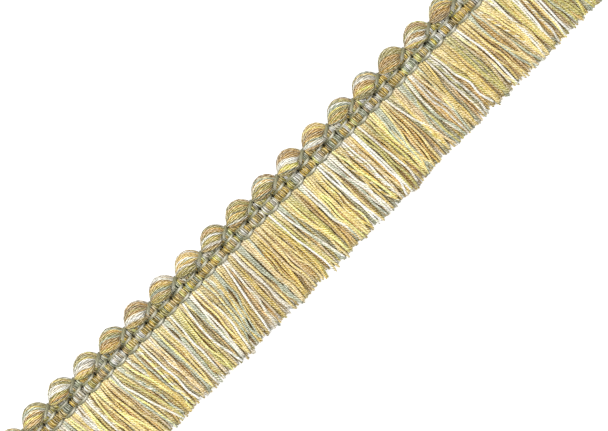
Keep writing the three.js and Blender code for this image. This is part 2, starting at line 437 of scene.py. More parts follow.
class TrimColours(bpy.types.PropertyGroup):
    """Colours of the dyed yarns, the thread and the table."""

    gold: yarn_colour("Gold", "Deepest of the yellow yarns", 226, 201, 86)
    straw: yarn_colour("Straw", "Light yellow yarn", 252, 231, 152)
    cream: yarn_colour("Cream", "Palest yarn", 255, 250, 240)
    sage: yarn_colour("Sage", "Grey-green yarn", 191, 199, 178)
    olive: yarn_colour("Olive", "Green-yellow yarn", 211, 201, 92)
    tan: yarn_colour("Tan", "Peach-brown yarn", 240, 217, 162)
    thread: yarn_colour("Thread", "Binding thread", 157, 154, 117)
    # the core's dark colour is painted shade in the gaps between the knots
    core: yarn_colour("Core", "Packed yarn in the shade between the knots", 58, 44, 18)
    # the loops' own yarn, darker than any dye, as painted shade inside the bundle
    loop_core: yarn_colour("Loop Core", "Packed yarn inside the loops", 150, 122, 62)
    table: yarn_colour("Table", "Surface under the trim", 205, 205, 204)


# Painted shade in the grooves: the light there has met the dye more than once. The share that has,
# and the rest
SHADED_DYE_SHARE = (0.6, 0.6, 0.6)
SHADED_DYE_REST = (0.42, 0.4, 0.25)
# A painted glint on a fibre is part its dye and part the lamp
GLINT_DYE = (0.3, 0.3, 0.3)
GLINT_LIGHT = (0.73, 0.7, 0.61)
GLINT_REST = 0.4  # what every fibre adds to its glint, which is raised to the power below
GLINT_POWER = 5
GLINT_STRENGTH = 1.1
# One ply in four shows the yarn's second dye: how sharply it starts round the yarn, and where
SECOND_DYE_EDGE = {"sharpness": 5, "start": 3.0}
CREST_POWER = 1.6  # how narrow the crest of a ply is
# How much the painted shade of the grooves, and the fibres and the flecks, deepen a yarn's colour
GROOVE_SHADE = 1.4
FIBRE_DEPTH = 2.5
FLECK_DEPTH = 1.3
CREST_LIGHTNESS = 1.18
DEPTH_DARKENING = 0.8  # how much darker the yarn is where its colour is deepest, with the grooves' painted shade
# How far the plies and the fibres stand up in the relief of the finish
PLY_RELIEF = 0.7
FIBRE_RELIEF = 0.3
# Noise round a yarn: the room that it takes round and along the yarn, and how fine it is
FIBRES = {"radius": 2.6, "stretch": 0.8, "scale": 2.2, "detail": 2.0}
FLECKS = {"radius": 0.4, "stretch": 1.3, "scale": 1.6, "detail": 1.0}
THREAD_FIBRES = {"radius": 1.5, "stretch": 2.0, "scale": 2.5, "detail": 2.0}
# For each use of the yarn, the lightness of its colour, which paints the shade that falls on that
# use, and the strength of its grooves
YARN_SHADE_AND_RELIEF = {
    "loose": {"shade": 1.0, "relief": 0.85},
    "wound": {"shade": 0.9, "relief": 1.1},
    "knotted": {"shade": 0.69, "relief": 0.85},
}

# Share of each dyed yarn in the mix for each use of the yarn, how much commoner it is on top of a
# loop, which paints a pale highlight along the loops' tops, and how far it takes part in the use's
# depth
YARN_MIX = {
    "gold": {"loose": 0.22, "wound": 0.24, "knotted": 0.2, "on_top": 0.0, "deepens": 0.85},
    "straw": {"loose": 0.24, "wound": 0.14, "knotted": 0.18, "on_top": -0.1, "deepens": 0.6},
    "cream": {"loose": 0.2, "wound": 0.16, "knotted": 0.2, "on_top": 0.2, "deepens": 0.2},
    "sage": {"loose": 0.15, "wound": 0.11, "knotted": 0.2, "on_top": 0.1, "deepens": 0.3},
    "olive": {"loose": 0.13, "wound": 0.28, "knotted": 0.09, "on_top": 0.0, "deepens": 0.65},
    "tan": {"loose": 0.07, "wound": 0.07, "knotted": 0.13, "on_top": 0.0, "deepens": 0.6},
}
# For each use: the power by which the yarn looks deeper than its dye, the chance that a yarn has
# its neighbour's colour, how much the mix changes along the trim, and how much lightness differs
YARN_USES = {
    "loose": {"depth": 1.2, "repeat_chance": 0.2, "drift": 0.4, "lightness": 0.13},
    "wound": {"depth": 2.2, "repeat_chance": 0.42, "drift": 0.05, "lightness": 0.21},
    "knotted": {"depth": 1.25, "repeat_chance": 0.4, "drift": 0.3, "lightness": 0.23},
}
DRIFT_COURSES = 3  # the mix drifts from one state to the next over this many courses
SECOND_DYE_MOST = 0.95  # greatest share of another dye in a yarn's second dye
SECOND_DYE_POWER = 2.4  # how rare a large share is
PATCHES = 0.09  # how much a yarn's lightness changes along it


def draws(use):
    """Repeatable random numbers for one use."""
    return np.random.default_rng([SEED, sum(map(ord, use))])


def read_smoothly(rows, key, column, at):
    """A column of a table at the given places, along a smooth curve through its rows."""
    places = np.array([row[key] for row in rows])
    values = np.array([row[column] for row in rows])
    slopes = np.gradient(values, places)
    at = np.clip(at, places[0], places[-1])
    i = np.clip(np.searchsorted(places, at) - 1, 0, len(places) - 2)
    span = places[i + 1] - places[i]
    t = (at - places[i]) / span
    rise = values[i + 1] - values[i]
    start = slopes[i] * span
    end = slopes[i + 1] * span
    return values[i] + t * (start + t * (3 * rise - 2 * start - end + t * (start + end - 2 * rise)))


def even_route(rows, count):
    """Every column of a route's rows at even steps along a smooth curve through them."""
    legs = [dict(row, leg=float(leg)) for leg, row in enumerate(rows)]
    fine = np.linspace(0, len(rows) - 1, FINE_STEPS * len(rows))
    columns = {name: read_smoothly(legs, "leg", name, fine) for name in rows[0]}
    places = np.stack([columns[name] for name in ("along", "across", "height")], axis=-1)
    run = lengths_along(places[None])[0]
    at = np.linspace(0, run[-1], count)
    return {name: np.interp(at, run, column) for name, column in columns.items()}


def uneven(i, use):
    """A repeatable number from -0.5 to 0.5 for item i, and a different one for each use."""
    for_item, for_use, widening = SCATTER
    wave = math.sin(i * for_item + use * for_use) * widening
    return wave - math.floor(wave) - 0.5


def eased(share):
    """A share from 0 to 1 that starts and ends softly."""
    return share * share * (3 - 2 * share)


def wander(rng, count, stations, bends):
    """Smooth random wandering along each of count yarns, about -1 to 1."""
    turns = rng.normal(size=(count, bends + 1))
    at = np.linspace(0, bends, stations)
    left = np.minimum(at.astype(int), bends - 1)
    share = eased(at - left)
    return turns[:, left] * (1 - share) + turns[:, left + 1] * share


def lengths_along(paths):
    """Length of each path from its start to each of its points."""
    legs = np.linalg.norm(np.diff(paths, axis=1), axis=-1)
    return np.concatenate([np.zeros((len(paths), 1)), np.cumsum(legs, axis=1)], axis=1)


def carried_frames(paths):
    """Direction of each path at its points, with a side and an upward one that turn little."""
    ahead = np.gradient(paths, axis=1)
    ahead /= np.linalg.norm(ahead, axis=-1, keepdims=True)
    up = np.empty_like(ahead)
    lead = np.tile(START_UP, (len(paths), 1))
    for i in range(paths.shape[1]):
        lead = lead - ahead[:, i] * np.sum(lead * ahead[:, i], axis=-1, keepdims=True)
        lead /= np.linalg.norm(lead, axis=-1, keepdims=True)
        up[:, i] = lead
    return ahead, np.cross(up, ahead), up


def tube_faces(stations, sides):
    """Wall quads and end triangles of a closed tube, with the places of their corners.

    The last three arrays are the walls' places round the tube and along it, and the ends' round it.
    """
    ring = np.arange(sides)
    row = np.arange(stations - 1)[:, None]
    near = row * sides + ring
    far = row * sides + (ring + 1) % sides
    walls = np.stack([near, far, far + sides, near + sides], axis=-1).reshape(-1, 4)
    start, end = stations * sides, stations * sides + 1
    last = (stations - 1) * sides
    after = (ring + 1) % sides
    fans = np.concatenate(
        [
            np.stack([np.full(sides, start), after, ring], axis=-1),
            np.stack([np.full(sides, end), last + ring, last + after], axis=-1),
        ]
    )
    wide = np.broadcast_to(ring, near.shape)
    around = np.stack([wide, wide + 1, wide + 1, wide], axis=-1).reshape(-1, 4)
    rows = np.broadcast_to(row, near.shape)
    along = np.stack([rows, rows, rows + 1, rows + 1], axis=-1).reshape(-1, 4)
    middle = ring + 0.5
    fan_around = np.concatenate(
        [
            np.stack([middle, ring + 1, ring], axis=-1),
            np.stack([middle, ring, ring + 1], axis=-1),
        ]
    )
    return walls, fans, around / sides, along, fan_around / sides


def atlas_places(count, across, along):
    """Lays count strips in rows in the unit square, from places across and along a strip."""
    columns = max(1, round(math.sqrt(count * STRIP_SLENDERNESS)))
    rows = math.ceil(count / columns)
    n = np.arange(count)[:, None]
    u = (n % columns + STRIP_EDGE + (1 - 2 * STRIP_EDGE) * across) / columns
    v = (n // columns + STRIP_EDGE + (1 - 2 * STRIP_EDGE) * along) / rows
    return np.stack([u, v], axis=-1)


def add_map(mesh, name, places):
    """Gives the mesh a UV map from one place for each face corner."""
    layer = mesh.uv_layers.new(name=name)
    layer.data.foreach_set("uv", places.astype(np.float32).ravel())


def tube_points(paths, half_widths, turn, corners):
    """Rings of points along each yarn, then the crowns of its two ends."""
    angles = np.radians([angle for angle, _ in corners]) + turn[..., None]
    reach = np.array([share for _, share in corners]) * half_widths[..., None]
    ahead, side, up = carried_frames(paths)
    ring = (reach * np.cos(angles))[..., None] * side[:, :, None]
    ring = ring + (reach * np.sin(angles))[..., None] * up[:, :, None] + paths[:, :, None]
    crown = END_CROWN * half_widths[..., None] * ahead
    ends = np.stack([paths[:, 0] - crown[:, 0], paths[:, -1] + crown[:, -1]], axis=1)
    return np.concatenate([ring.reshape(len(paths), -1, 3), ends], axis=1)


def tube_mesh(name, points, walls, fans):
    """One smooth mesh of like tubes, from their points and the faces of one tube."""
    count, size = points.shape[:2]
    step = size * np.arange(count)[:, None]
    quads = (walls.ravel() + step).reshape(-1, 4)
    caps = (fans.ravel() + step).reshape(-1, 3)
    corner_list = np.concatenate([quads.ravel(), caps.ravel()])
    sizes = np.concatenate([np.full(len(quads), 4), np.full(len(caps), 3)])
    mesh = bpy.data.meshes.new(name)
    mesh.vertices.add(count * size)
    mesh.vertices.foreach_set("co", (points * MM).astype(np.float32).ravel())
    mesh.loops.add(len(corner_list))
    mesh.loops.foreach_set("vertex_index", corner_list.astype(np.int32))
    mesh.polygons.add(len(sizes))
    mesh.polygons.foreach_set("loop_start", (np.cumsum(sizes) - sizes).astype(np.int32))
    mesh.update(calc_edges=True)
    mesh.polygons.foreach_set("use_smooth", np.ones(len(sizes), bool))
    return mesh


def add_yarn_maps(mesh, run, map_turn, around, row, fan_around):
    """Gives the yarns a map for the pattern of their finish, and one to bake it on."""
    count = len(run)
    spool = SPOOL_GAP * np.arange(count)[:, None]
    wall_run = run[:, row.ravel()]
    wall_around = np.broadcast_to(around.ravel(), wall_run.shape)
    cap_around = np.broadcast_to(fan_around.ravel(), (count, fan_around.size))
    at_end = np.repeat([0.0, 1.0], fan_around.size // 2)
    cap_run = at_end * run[:, -1:]
    wall_ply = wall_around - map_turn[:, row.ravel()]
    cap_ply = cap_around - np.where(at_end == 0, map_turn[:, :1], map_turn[:, -1:])
    lays = [
        np.stack([wall_run + spool, wall_ply], axis=-1),
        np.stack([cap_run + spool, cap_ply], axis=-1),
    ]
    add_map(mesh, LAY_MAP, np.concatenate([part.reshape(-1, 2) for part in lays]))
    centre = np.tile([1.0, 0.0, 0.0], fan_around.size // 3) * STRIP_EDGE / 2
    cap_share = at_end + centre * (2 * at_end - 1)
    strips = [
        atlas_places(count, wall_around, wall_run / run[:, -1:]),
        atlas_places(count, cap_around, np.broadcast_to(cap_share, cap_around.shape)),
    ]
    add_map(mesh, BAKE_MAP, np.concatenate([part.reshape(-1, 2) for part in strips]))


def add_tints(mesh, tints, sides):
    """Gives each point of the yarns the two dyes of its station."""
    for ply, attribute in enumerate(PLY_TINTS):
        ring_tints = np.repeat(tints[:, :, ply], sides, axis=1)
        end_tints = tints[:, [0, -1], ply]
        colours = np.concatenate([ring_tints, end_tints], axis=1).reshape(-1, 3)
        layer = mesh.color_attributes.new(attribute, "FLOAT_COLOR", "POINT")
        with_alpha = np.column_stack([colours, np.ones(len(colours))])
        layer.data.foreach_set("color", with_alpha.astype(np.float32).ravel())


def placed(mesh, finish):
    """A new object of the scene with this mesh and finish."""
    mesh.materials.append(finish)
    made = bpy.data.objects.new(mesh.name, mesh)
    bpy.context.scene.collection.objects.link(made)
    return made


def yarn_object(name, paths, half_widths, lay, tints, finish, corners=PLY_CORNERS):
    """One object of closed yarns from their routes, yarns x stations x 3.

    tints holds the two dyes of each yarn at each station. A section with plies turns with the
    twist. A round one keeps still, and its map turns instead.
    """
    rng = draws(name)
    run = lengths_along(paths)
    phase = rng.uniform(0, 2 * math.pi, (len(paths), 1))
    lays = lay * rng.uniform(1 - LAY_CHANGE, 1 + LAY_CHANGE, (len(paths), 1))
    turn = phase - 2 * math.pi * run / lays
    if corners is PLY_CORNERS:
        section_turn, map_turn = turn, np.zeros_like(turn)
    else:
        section_turn, map_turn = np.zeros_like(turn), turn / (2 * math.pi)
    walls, fans, around, row, fan_around = tube_faces(paths.shape[1], len(corners))
    points = tube_points(paths, half_widths, section_turn, corners)
    mesh = tube_mesh(name, points, walls, fans)
    add_yarn_maps(mesh, run, map_turn, around, row, fan_around)
    add_tints(mesh, tints, len(corners))
    if mesh.validate():
        raise RuntimeError(f"{name} has faces that Blender had to mend")
    return placed(mesh, finish)


class Field:
    """A node's output in an expression: each step with fields and numbers adds a Math node."""

    def __init__(self, net, socket):
        self.net = net
        self.socket = socket

    def math(self, operation, *values):
        return self.net.field("ShaderNodeMath", {"operation": operation}, enumerate(values))

    def __add__(self, other):
        return self.math("ADD", self, other)

    def __radd__(self, other):
        return self.math("ADD", other, self)

    def __sub__(self, other):
        return self.math("SUBTRACT", self, other)

    def __rsub__(self, other):
        return self.math("SUBTRACT", other, self)

    def __mul__(self, other):
        return self.math("MULTIPLY", self, other)

    def __rmul__(self, other):
        return self.math("MULTIPLY", other, self)

    def __pow__(self, other):
        return self.math("POWER", self, other)

    def __abs__(self):
        return self.math("ABSOLUTE", self)

    def cosine(self):
        return self.math("COSINE", self)

    def sine(self):
        return self.math("SINE", self)

    def within(self, low, high):
        return self.math("MINIMUM", self.math("MAXIMUM", self, low), high)


def socket_of(sockets, key):
    """A socket by its number, its identifier or its name."""
    if isinstance(key, int):
        return sockets[key]
    exact = [socket for socket in sockets if socket.identifier == key]
    return exact[0] if exact else sockets[key]


class Net:
    """The node tree of one material, emptied."""

    def __init__(self, name):
        self.material = bpy.data.materials.new(name)
        self.material.use_nodes = True
        self.tree = self.material.node_tree
        self.tree.nodes.clear()

    def node(self, kind, settings=(), sockets=()):
        """A node with its settings made first, then the values or links of its sockets."""
        made = self.tree.nodes.new(kind)
        for key, value in dict(settings).items():
            setattr(made, key, value)
        for key, value in dict(sockets).items():
            socket = socket_of(made.inputs, key)
            if isinstance(value, Field):
                self.tree.links.new(value.socket, socket)
            else:
                socket.default_value = value
        return made

    def field(self, kind, settings=(), sockets=(), output=0):
        """The output of a new node."""
        made = self.node(kind, settings, sockets)
        return Field(self, socket_of(made.outputs, output))

    def parts(self, vector):
        """The three numbers of a vector."""
        split = self.node("ShaderNodeSeparateXYZ", {}, {"Vector": vector})
        return [Field(self, output) for output in split.outputs]

    def joined(self, x, y, z):
        return self.field("ShaderNodeCombineXYZ", {}, {"X": x, "Y": y, "Z": z})

    def blended(self, factor, first, second):
        """One colour at factor 0, the other at 1."""
        places = {"Factor_Float": factor, "A_Color": first, "B_Color": second}
        return self.field("ShaderNodeMix", {"data_type": "RGBA"}, places, "Result_Color")

    def vector_math(self, operation, *vectors):
        return self.field("ShaderNodeVectorMath", {"operation": operation}, enumerate(vectors))

    def dimmed(self, colour, share):
        sockets = {"Vector": colour, "Scale": share}
        return self.field("ShaderNodeVectorMath", {"operation": "SCALE"}, sockets)

    def noise(self, place, scale, detail):
        """Fine noise from 0 to 1."""
        sockets = {"Vector": place, "Scale": scale, "Detail": detail}
        return self.field("ShaderNodeTexNoise", {}, sockets, "Fac")

    def round_yarn(self):
        """Place along a yarn, then the cosine and sine of the angle round it, then the angle."""
        run, around, _ = self.parts(self.field("ShaderNodeUVMap", {"uv_map": LAY_MAP}))
        angle = around * (2 * math.pi)
        return run, angle.cosine(), angle.sine(), angle

    def yarn_noise(self, run, cosine, sine, radius, stretch, scale, detail):
        """Noise from 0 to 1 that closes round a yarn."""
        place = self.joined(cosine * radius, sine * radius, run * stretch)
        return self.noise(place, scale, detail)

    def bump(self, height, distance, strength):
        sockets = {"Height": height, "Distance": distance, "Strength": strength}
        return self.field("ShaderNodeBump", {}, sockets)

    def surface(self, sockets):
        """Ends the tree with a shader of these sockets, and gives the material."""
        shader = self.field("ShaderNodeBsdfPrincipled", {}, sockets)
        self.node("ShaderNodeOutputMaterial", {}, {"Surface": shader})
        return self.material


def satin_yarn(use):
    """Twisted plies of satin fibre in two dyes, with painted shade in the grooves between them and
    painted glints on their crests.
    """
    shade = YARN_SHADE_AND_RELIEF[use]["shade"]
    relief = YARN_SHADE_AND_RELIEF[use]["relief"]
    net = Net(f"{use} satin yarn")
    run, cosine, sine, angle = net.round_yarn()
    crest = abs((angle * (PLIES / 2)).cosine()) ** CREST_POWER
    edge = SECOND_DYE_EDGE
    main_plies = (cosine * edge["sharpness"] + edge["start"]).within(0, 1)
    dyes = [net.field("ShaderNodeVertexColor", {"layer_name": layer}) for layer in PLY_TINTS]
    dye = net.blended(main_plies, dyes[1], dyes[0])
    left = net.vector_math("MULTIPLY_ADD", dye, SHADED_DYE_SHARE, SHADED_DYE_REST)
    shaded_dye = net.vector_math("MULTIPLY", dye, left)
    fibres = net.yarn_noise(run, cosine, sine, **FIBRES)
    flecks = net.yarn_noise(run, cosine, sine, **FLECKS)
    grooves = (1 - crest) * (GROOVE_SHADE * relief)
    depth = grooves + (0.5 - fibres) * FIBRE_DEPTH + (0.5 - flecks) * FLECK_DEPTH
    depth = depth.within(0, 1)
    # painted glint on the crests of the plies
    glint = ((crest * (fibres + GLINT_REST)) ** GLINT_POWER * GLINT_STRENGTH).within(0, 1)
    bright = net.vector_math("MULTIPLY_ADD", dye, GLINT_DYE, GLINT_LIGHT)
    lit_dye = net.blended(depth, net.blended(glint, dye, bright), shaded_dye)
    # painted shade of the grooves and of this use of the yarn
    colour = net.dimmed(lit_dye, shade * (CREST_LIGHTNESS - depth * DEPTH_DARKENING))
    height = crest * (PLY_RELIEF * relief) + fibres * FIBRE_RELIEF
    return net.surface(
        {
            "Base Color": colour,
            "Roughness": 0.56 - fibres * 0.2,
            "Normal": net.bump(height, distance=0.00015, strength=0.8),
            "Specular IOR Level": 0.6,
            "Sheen Weight": 0.12,
            "Sheen Roughness": 0.4,
        }
    )


def binding_thread(name):
    """Fine hard-twisted thread, a little glossy."""
    net = Net(name)
    run, cosine, sine, _ = net.round_yarn()
    fibres = net.yarn_noise(run, cosine, sine, **THREAD_FIBRES)
    dye = net.field("ShaderNodeVertexColor", {"layer_name": PLY_TINTS[0]})
    return net.surface(
        {
            "Base Color": net.dimmed(dye, 0.7 + fibres * 0.6),
            "Roughness": 0.5 - fibres * 0.15,
            "Normal": net.bump(fibres, distance=0.00008, strength=0.6),
            "Sheen Weight": 0.1,
        }
    )


def packed_core(name, colour):
    """Yarn packed inside the trim, in a dark colour that paints the shade between the other yarns.
    """
    net = Net(name)
    place = net.field("ShaderNodeTexCoord", {}, {}, "Object")
    strands = net.noise(place, scale=1800.0, detail=2.0)
    pale = tuple(min(1.0, 2 * share) for share in colour)
    return net.surface(
        {
            "Base Color": net.blended(strands, (*colour, 1), (*pale, 1)),
            "Roughness": 0.85 + strands * 0.1,
            "Normal": net.bump(strands, distance=0.0002, strength=0.8),
        }
    )


def pale_table(name, colour):
    """A plain matt surface that glows faintly, so that the trim's shadows stay soft."""
    return Net(name).surface(
        {
            "Base Color": (*colour, 1),
            "Roughness": 0.9,
            "Specular IOR Level": 0.1,
            "Emission Color": (1, 1, 1, 1),
            "Emission Strength": TABLE_GLOW,
        }
    )


def palette(colours):
    """The dyes of the mix as rows of linear colour."""
    return np.array([tuple(getattr(colours, name)) for name in YARN_MIX])


def mix_shares(use):
    """Share of each dye in the mix for one use of the yarn, one in all."""
    shares = np.array([row[use] for row in YARN_MIX.values()])
    return shares / shares.sum()


def dyes_by_course(name, use, courses, per_course, on_top=None):
    """Which dye each yarn of each course has, in a mix that drifts along the trim.

    on_top is 1 for a yarn on top of its course, and -1 for one at the underside.
    """
    rng = draws(name)
    shares = mix_shares(use)
    marks = courses // DRIFT_COURSES + 2
    drift = rng.normal(size=(len(shares), marks)) * YARN_USES[use]["drift"]
    places = np.arange(courses) / DRIFT_COURSES
    drift = np.array([np.interp(places, np.arange(marks), row) for row in drift]).T
    liking = np.zeros((per_course, len(shares)))
    if on_top is not None:
        liking = on_top[:, None] * np.array([row["on_top"] for row in YARN_MIX.values()])
    weights = shares * np.exp(drift[:, None] + liking)
    weights /= weights.sum(axis=-1, keepdims=True)
    dyes = np.empty((courses, per_course), int)
    last = 0
    for course in range(courses):
        for j in range(per_course):
            if rng.random() > YARN_USES[use]["repeat_chance"]:
                last = rng.choice(len(shares), p=weights[course, j])
            dyes[course, j] = last
    return dyes


def ply_tints(name, use, dyes, colours, stations, shade=(1.0, 1.0, 1.0)):
    """Both dyes of each yarn at each station, from the yarns' main dyes."""
    rng = draws(name + " tints")
    count = len(dyes)
    deepens = np.array([row["deepens"] for row in YARN_MIX.values()])[:, None]
    dye_colours = palette(colours) ** (1 + (YARN_USES[use]["depth"] - 1) * deepens)
    base = dye_colours[dyes]
    mate = dye_colours[rng.choice(len(dye_colours), count, p=mix_shares(use))]
    mixed = rng.uniform(0, SECOND_DYE_MOST, (count, 1)) ** SECOND_DYE_POWER
    plies = np.stack([base, base * (1 - mixed) + mate * mixed], axis=1)
    lightness = 1 + rng.normal(size=(count, 1, 1)) * YARN_USES[use]["lightness"]
    patches = 1 + wander(rng, count, stations, bends=6) * PATCHES
    tints = plies[:, None] * lightness[:, None] * patches[:, :, None, None]
    return np.clip(tints * np.array(shade), 0, 1)


def finish_piece(piece, slot, *nodes):
    """Fixes a piece to the trim, in place of the nodes that it stands for."""
    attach(piece, BODY)
    if nodes:
        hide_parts(*nodes)


def course_middle(course):
    """Place along the trim of the middle of a course."""
    return HEADING_LOW.x + COURSE * (course + 0.5)


def loop_middle(n):
    """Place along the trim of the middle of loop n."""
    return HEADING_LOW.x + PITCH * (n + 0.5)


def plan_angle(route):
    """Direction of a route at its points, seen from above."""
    return np.unwrap(np.arctan2(np.gradient(route["across"]), np.gradient(route["along"])))


def loop_surface(n, rows, stations, angles, inset, share=1.0):
    """Points of loop n's bundle at the given angles round it, station by station.

    An angle of 0 is its outer side, and a quarter turn its top. The points lie on the bundle at
    this share of its size, and this far inside it.
    """
    size = LOOP_SIZE + LOOP_SIZE_CHANGE * uneven(n, SIZE_USE)
    spine = even_route(rows, stations)
    turn = plan_angle(spine)
    belly = np.where(np.cos(angles) < 0, BELLY + BELLY_CHANGE * uneven(n, BELLY_USE), 1)
    half_width = np.maximum(spine["half_width"] * size * share - inset, LEAST_BUNDLE)
    half_thickness = np.maximum(spine["half_thickness"] * share - inset, LEAST_BUNDLE)
    out = half_width * np.cos(angles) * belly
    along = spine["along"] - out * np.sin(turn) + loop_middle(n)
    across = LOOP_FOOT + (spine["across"] - LOOP_FOOT) * size + out * np.cos(turn)
    height = spine["height"] + out * LOOP_SLOPE + half_thickness * np.sin(angles)
    return np.stack([along, across, np.maximum(height, LEAST_HEIGHT)], axis=-1)


def loop_underside(along, across):
    """Height of the loops' underside over points of the heading."""
    n = np.clip(np.floor((along - HEADING_LOW.x) / PITCH), 0, len(LOOP_NODES) - 1)
    x = along - loop_middle(n)
    spine = even_route(LOOP_SPINE, UNDERSIDE["stations"])
    turn = plan_angle(spine)
    under = np.full(x.shape, UNDERSIDE["open"])
    for i in range(len(turn)):
        dx = x - spine["along"][i]
        dy = across - spine["across"][i]
        ahead = dx * math.cos(turn[i]) + dy * math.sin(turn[i])
        aside = dy * math.cos(turn[i]) - dx * math.sin(turn[i])
        depth = np.clip(1 - (aside / (spine["half_width"][i] + UNDERSIDE["room"])) ** 2, 0, 1)
        bulge = spine["half_thickness"][i] * np.sqrt(depth)
        low = spine["height"][i] + aside * LOOP_SLOPE - bulge
        near = (np.abs(ahead) < UNDERSIDE["reach"]) & (depth > 0)
        under = np.where(near, np.minimum(under, low), under)
    return under


def loop_paths(n, most_half_width):
    """Routes of one loop's yarns from pole to neck, with their half widths and their lightness,
    which paints shade on the sides and ends.
    """
    rng = draws(f"loop {n}")
    rows = [LOOP_POLE, *LOOP_SPINE, LOOP_NECK]
    spine = even_route(rows, LOOP_STATIONS)
    mean_square = (spine["half_width"] ** 2 + spine["half_thickness"] ** 2) / 2
    room = 2 * math.pi * np.sqrt(mean_square) / LOOP_YARNS
    widths = np.clip(WOUND_YARN * room, LEAST_WOUND_YARN, most_half_width)
    jitter = rng.uniform(-WOUND_GAP_CHANGE, WOUND_GAP_CHANGE, LOOP_YARNS)
    starts = 2 * math.pi * (np.arange(LOOP_YARNS) + jitter) / LOOP_YARNS
    sway = wander(rng, LOOP_YARNS, LOOP_STATIONS, bends=3) * WOUND_SWAY
    t = np.linspace(0, 1, LOOP_STATIONS)
    angles = starts[:, None] + LOOP_TWIST * t + sway
    sunk = widths + np.abs(wander(rng, LOOP_YARNS, LOOP_STATIONS, bends=3)) * WOUND_SINK
    paths = loop_surface(n, rows, LOOP_STATIONS, angles, sunk)
    # painted shade: darker where the bundle turns down, and where it dives in at the pole and the
    # neck
    turned_down = 1 - np.maximum(np.sin(angles), 0)
    lightness = 1 - EDGE_PAINTED_SHADE * turned_down**EDGE_PAINTED_SHADE_POWER
    open_share = np.minimum(t / POLE_SHADE_REACH, (1 - t) / NECK_SHADE_REACH)
    lightness = lightness * np.clip(POLE_SHADE + (1 - POLE_SHADE) * open_share, 0, 1)
    return paths, np.broadcast_to(widths, paths.shape[:2]), lightness


def loop_core(n, finish):
    """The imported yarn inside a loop, as one closed body a little smaller than the loop."""
    stations, sides = LOOP_CORE["stations"], LOOP_CORE["sides"]
    angles = 2 * math.pi * np.arange(sides)[:, None] / sides * np.ones(stations)
    inset, share = LOOP_CORE["inset"], LOOP_CORE["share"]
    rings = loop_surface(n, LOOP_SPINE, stations, angles, inset, share).transpose(1, 0, 2)
    return closed_object(f"loop_core_{n + 1:02d}", rings, finish)


def closed_object(name, rings, finish):
    """One closed body through rings of points, stations x sides x 3, with flat ends."""
    stations, sides = rings.shape[:2]
    walls = tube_faces(stations, sides)[0]
    ends = [tuple(reversed(range(sides))), tuple(range((stations - 1) * sides, stations * sides))]
    mesh = bpy.data.meshes.new(name)
    mesh.from_pydata((rings.reshape(-1, 3) * MM).tolist(), [], walls.tolist() + ends)
    mesh.shade_smooth()
    return placed(mesh, finish)


def heading_paths(row):
    """Routes of the heading's yarns over one row of knots, course by course."""
    rng = draws(row + " knots")
    count = COURSES * YARNS_IN_KNOT
    course, j = np.divmod(np.arange(count), YARNS_IN_KNOT)
    jitter = rng.uniform(-KNOT_GAP_CHANGE, KNOT_GAP_CHANGE, count)
    place = (j - (YARNS_IN_KNOT - 1) / 2 + jitter) / YARNS_IN_KNOT
    side = np.abs(2 * place[:, None]) ** KNOT_SIDE_POWER
    s = np.linspace(0, 1, KNOT_STATIONS)
    arch = np.sin(math.pi * s) ** KNOT_ARCH_POWER
    wide = KNOT_PINCH + (1 - KNOT_PINCH) * arch
    x = course_middle(course)[:, None] + place[:, None] * COURSE * KNOT_WIDTH * wide
    top = KNOT_ROWS[row]["top"] - KNOT_TOP_ROUNDING * side
    bottom = KNOT_ROWS[row]["bottom"] + KNOT_BOTTOM_ROUNDING * side
    y = top + (bottom - top) * s
    z = KNOT_FOOT + (KNOT_CREST - KNOT_FOOT) * arch * (1 - KNOT_FALL * side)
    z = z + wander(rng, count, KNOT_STATIONS, bends=3) * KNOT_WAVER
    ceiling = np.maximum(loop_underside(x, y) - UNDER_LOOP_GAP, LEAST_HEIGHT)
    return np.stack([x, y, np.clip(z, LEAST_HEIGHT, ceiling)], axis=-1)


def back_paths():
    """Routes of the yarns on the heading's back, which cross it flat on the table."""
    count = COURSES * BACK_YARNS["per_course"]
    stations = BACK_YARNS["stations"]
    margin = BACK_YARNS["margin"]
    x = HEADING_LOW.x + TRIM_LENGTH * (np.arange(count) + 0.5) / count
    y = np.linspace(UPPER_LINE - margin, HEADING_LOW.y + margin, stations)
    waves = np.cos(np.linspace(0, 4 * math.pi, stations))
    z = BACK_YARNS["height"] + BACK_YARNS["wave"] * waves
    return np.stack(np.broadcast_arrays(x[:, None], y, z), axis=-1)


def heading_core(finish):
    """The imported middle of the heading, which closes the gaps between its knots."""
    core = HEADING_CORE
    in_course = core["steps_in_course"]
    steps = np.arange(COURSES * in_course + 1)
    inset = core["inset"]
    x = np.linspace(HEADING_LOW.x + inset, HEADING_HIGH.x - inset, len(steps))
    crest = core["crest"] - core["ripple"] * np.cos(2 * math.pi * steps / in_course)
    edge = crest - core["edge_drop"]
    low = np.full_like(x, core["underside"])
    front = HEADING_LOW.y + inset
    back = HEADING_HIGH.y - inset
    profile = [(front, low), (back, low), (back, edge), (0.0, crest), (front, edge)]
    rings = [np.stack([x, np.full_like(x, y), z], axis=-1) for y, z in profile]
    return closed_object("heading_core", np.stack(rings, axis=1), finish)


def thread_paths(name, thread, middles):
    """Routes of one thread of a link over every knot or neck of a stitch line.

    The draws start again for each thread, so the threads of a link stay side by side.
    """
    line = STITCH_LINES[name]
    rng = draws(name)
    route = even_route(line["link"], THREAD_STATIONS)
    turn = plan_angle(route)
    aside = thread["aside"] * line["spread"]
    along = route["along"] - aside * np.sin(turn)
    across = route["across"] + aside * np.cos(turn)
    height = np.maximum(route["height"] - thread["drop"], LEAST_THREAD_HEIGHT)
    places = np.zeros((len(middles), 3))
    places[:, 0] = middles
    places[:, 1] = line["across"]
    places = places + rng.normal(size=places.shape) * STITCH_CHANGE
    return np.stack([along, across, height], axis=-1) + places[:, None]


